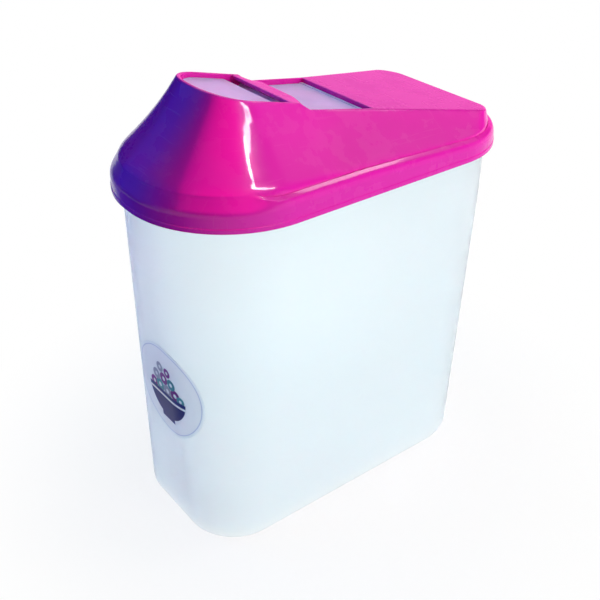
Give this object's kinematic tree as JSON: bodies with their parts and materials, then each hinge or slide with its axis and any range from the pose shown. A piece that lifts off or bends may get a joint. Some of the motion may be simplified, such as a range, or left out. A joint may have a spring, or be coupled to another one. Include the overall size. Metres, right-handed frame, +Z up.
{
  "type": "cereal container with flip spout",
  "caption": "Tall tapered food keeper with a snap lid, a raised pouring nose and a rocker flap that opens when its thumb pad is pressed.",
  "frame": {"origin": "centre of the base, on the surface it stands on", "axes": "+Z up, -Y towards the pouring nose, +X to the right of the nose as seen from the front"},
  "size_m": [0.113, 0.205, 0.2375],
  "materials": {
    "clear_body": "natural translucent polypropylene, glossy outside, faint flow marks",
    "magenta_lid": "opaque magenta plastic, glossy, soft moulded edges",
    "clear_flap": "natural translucent polypropylene",
    "sticker": null
  },
  "bodies": {
    "container": {"container_body": "clear_body", "round_sticker": "sticker"},
    "lid_body": {"lid": "magenta_lid"},
    "flap_body": {"spout_flap": "clear_flap"}
  },
  "joints": [
    {"name": "lid_lift", "type": "slide", "parent": "container", "child": "lid_body", "axis": [0, 0, 1], "range_m": [0, 0.08]},
    {"name": "flap_pivot", "type": "hinge", "parent": "lid_body", "child": "flap_body", "pos_m": [0, -0.0235, 0.2201], "axis": [-1, 0, 0], "range_deg": [0, 22]}
  ]
}
